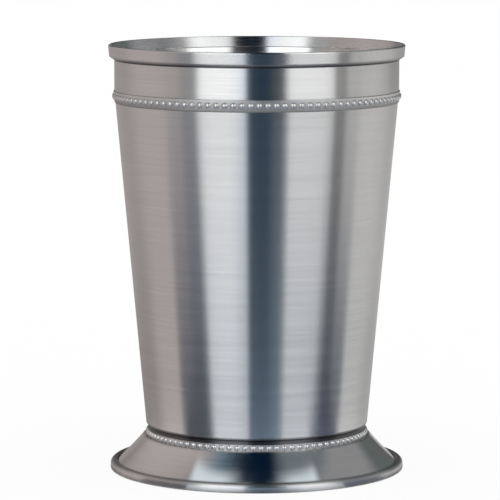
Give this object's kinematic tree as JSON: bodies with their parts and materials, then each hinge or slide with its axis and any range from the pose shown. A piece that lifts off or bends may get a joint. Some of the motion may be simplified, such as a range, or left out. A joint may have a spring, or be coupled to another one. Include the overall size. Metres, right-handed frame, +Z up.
{
  "type": "julep cup",
  "caption": "Footed metal julep cup with a tapered body, a straight collar under a banded lip, two beaded wires and a flared foot.",
  "frame": {"origin": "centre of the foot's underside, on the table", "axes": "+Z up along the cup's axis, towards the mouth; the cup is round, so +X and +Y are any two square directions on the table"},
  "size_m": [0.0794, 0.0794, 0.1143],
  "materials": {
    "brushed_body": "fine satin brushed round the cup",
    "brushed_band": "fine satin brushed round the lip, edges polished",
    "bright_beads": "polished beads",
    "brushed_foot": "soft polish with fine turning lines",
    "bright_edge": "polished",
    "silver_solder": "dull, as flowed"
  },
  "bodies": {
    "root": {"cup_body": "brushed_body", "lip_band": "brushed_band", "upper_beaded_wire": "bright_beads", "lower_beaded_wire": "bright_beads", "foot_skirt": "brushed_foot", "foot_edge_wire": "bright_edge", "lip_solder": "silver_solder", "upper_wire_solder": "silver_solder", "foot_solder": "silver_solder", "foot_edge_solder": "silver_solder"}
  },
  "joints": []
}
